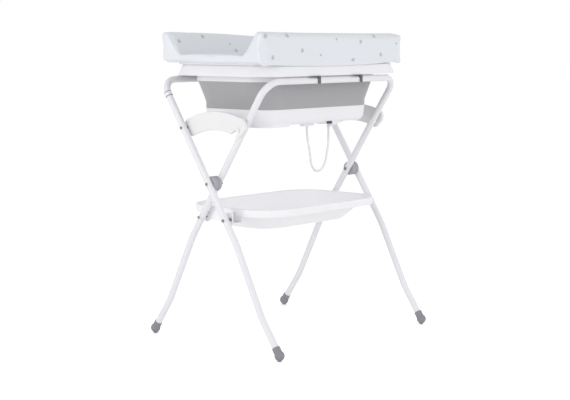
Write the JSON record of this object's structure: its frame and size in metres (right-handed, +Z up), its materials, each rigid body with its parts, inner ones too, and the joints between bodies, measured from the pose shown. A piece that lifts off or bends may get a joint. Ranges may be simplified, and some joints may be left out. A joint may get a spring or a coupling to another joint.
{
  "type": "changing table with bathtub",
  "caption": "Folding changing table: padded changing top over a collapsible bath tub, carried on a crossed tube frame with a storage shelf.",
  "frame": {"origin": "middle of the footprint on the floor", "axes": "+X along the bars to the right as seen from the front, +Y to the back, +Z up"},
  "size_m": [0.786, 0.628, 1.01],
  "materials": {
    "frame_paint": "gloss",
    "foot_rubber": "matte",
    "saddle_plastic": "matte",
    "fastener_steel": "satin",
    "white_moulding": "satin",
    "tub_plastic": "gloss",
    "folding_wall": "satin",
    "clip_plastic": "satin",
    "plug_plastic": "gloss",
    "hose_plastic": "satin",
    "pad_cover": "satin",
    "board_plastic": "matte"
  },
  "bodies": {
    "outer_frame": {"outer_top_bar": "frame_paint", "outer_left_leg": "frame_paint", "outer_right_leg": "frame_paint", "front_left_foot": "foot_rubber", "front_right_foot": "foot_rubber", "outer_left_pivot_saddle": "saddle_plastic", "outer_right_pivot_saddle": "saddle_plastic", "pivot_bolts": "fastener_steel", "pivot_nuts": "fastener_steel", "brace_bolts": "fastener_steel", "brace_nuts": "fastener_steel", "shelf_hook_studs": "fastener_steel"},
    "inner_frame": {"inner_top_bar": "frame_paint", "inner_left_leg": "frame_paint", "inner_right_leg": "frame_paint", "rear_left_foot": "foot_rubber", "rear_right_foot": "foot_rubber", "inner_left_pivot_saddle": "saddle_plastic", "inner_right_pivot_saddle": "saddle_plastic", "brace_hook_studs": "white_moulding", "shelf_pins": "fastener_steel", "shelf_pin_nuts": "fastener_steel"},
    "left_side_brace": {"left_brace": "white_moulding"},
    "right_side_brace": {"right_brace": "white_moulding"},
    "storage_shelf": {"shelf": "white_moulding"},
    "tub": {"tub_rim": "tub_plastic", "tub_wall": "folding_wall", "left_bar_clip": "clip_plastic", "right_bar_clip": "clip_plastic", "left_rear_hook": "tub_plastic", "right_rear_hook": "tub_plastic"},
    "tub_floor": {"tub_base": "tub_plastic", "drain_outlet": "tub_plastic", "drain_hose": "hose_plastic", "hose_clip": "tub_plastic"},
    "drain_stopper": {"drain_plug": "plug_plastic"},
    "pad": {"changing_pad": "pad_cover", "pad_board": "board_plastic"}
  },
  "joints": [
    {"name": "frame_fold", "type": "hinge", "parent": "outer_frame", "child": "inner_frame", "pos_m": [0, 0, 0.531], "axis": [-1, 0, 0], "range_deg": [0, 50]},
    {"name": "tub_lift_off", "type": "slide", "parent": "outer_frame", "child": "tub", "axis": [0, 0, 1], "range_m": [0, 1.4]},
    {"name": "left_brace_swing", "type": "hinge", "parent": "outer_frame", "child": "left_side_brace", "pos_m": [-0.355, 0.11184, 0.706], "axis": [-1, 0, 0], "range_deg": [0, 60.1]},
    {"name": "right_brace_swing", "type": "hinge", "parent": "outer_frame", "child": "right_side_brace", "pos_m": [0.355, 0.11184, 0.706], "axis": [-1, 0, 0], "range_deg": [0, 60.1]},
    {"name": "shelf_tilt", "type": "hinge", "parent": "inner_frame", "child": "storage_shelf", "pos_m": [0, 0.07413, 0.415], "axis": [-1, 0, 0], "range_deg": [0, 35.1]},
    {"name": "tub_collapse", "type": "slide", "parent": "tub", "child": "tub_floor", "axis": [0, 0, 1], "range_m": [0, 0.07], "deforming": ["tub_wall"]},
    {"name": "pad_lift", "type": "slide", "parent": "tub", "child": "pad", "axis": [0, 0, 1], "range_m": [0, 0.25]},
    {"name": "drain_plug_pull", "type": "slide", "parent": "tub_floor", "child": "drain_stopper", "axis": [0, -1, 0], "range_m": [0, 0.02]}
  ],
  "couplings": [
    {"joint": "tub_lift_off", "follows": "frame_fold", "m_per_rad": 1.6},
    {"joint": "left_brace_swing", "follows": "frame_fold", "ratio": 1.2},
    {"joint": "right_brace_swing", "follows": "frame_fold", "ratio": 1.2},
    {"joint": "shelf_tilt", "follows": "frame_fold", "ratio": 0.7}
  ]
}
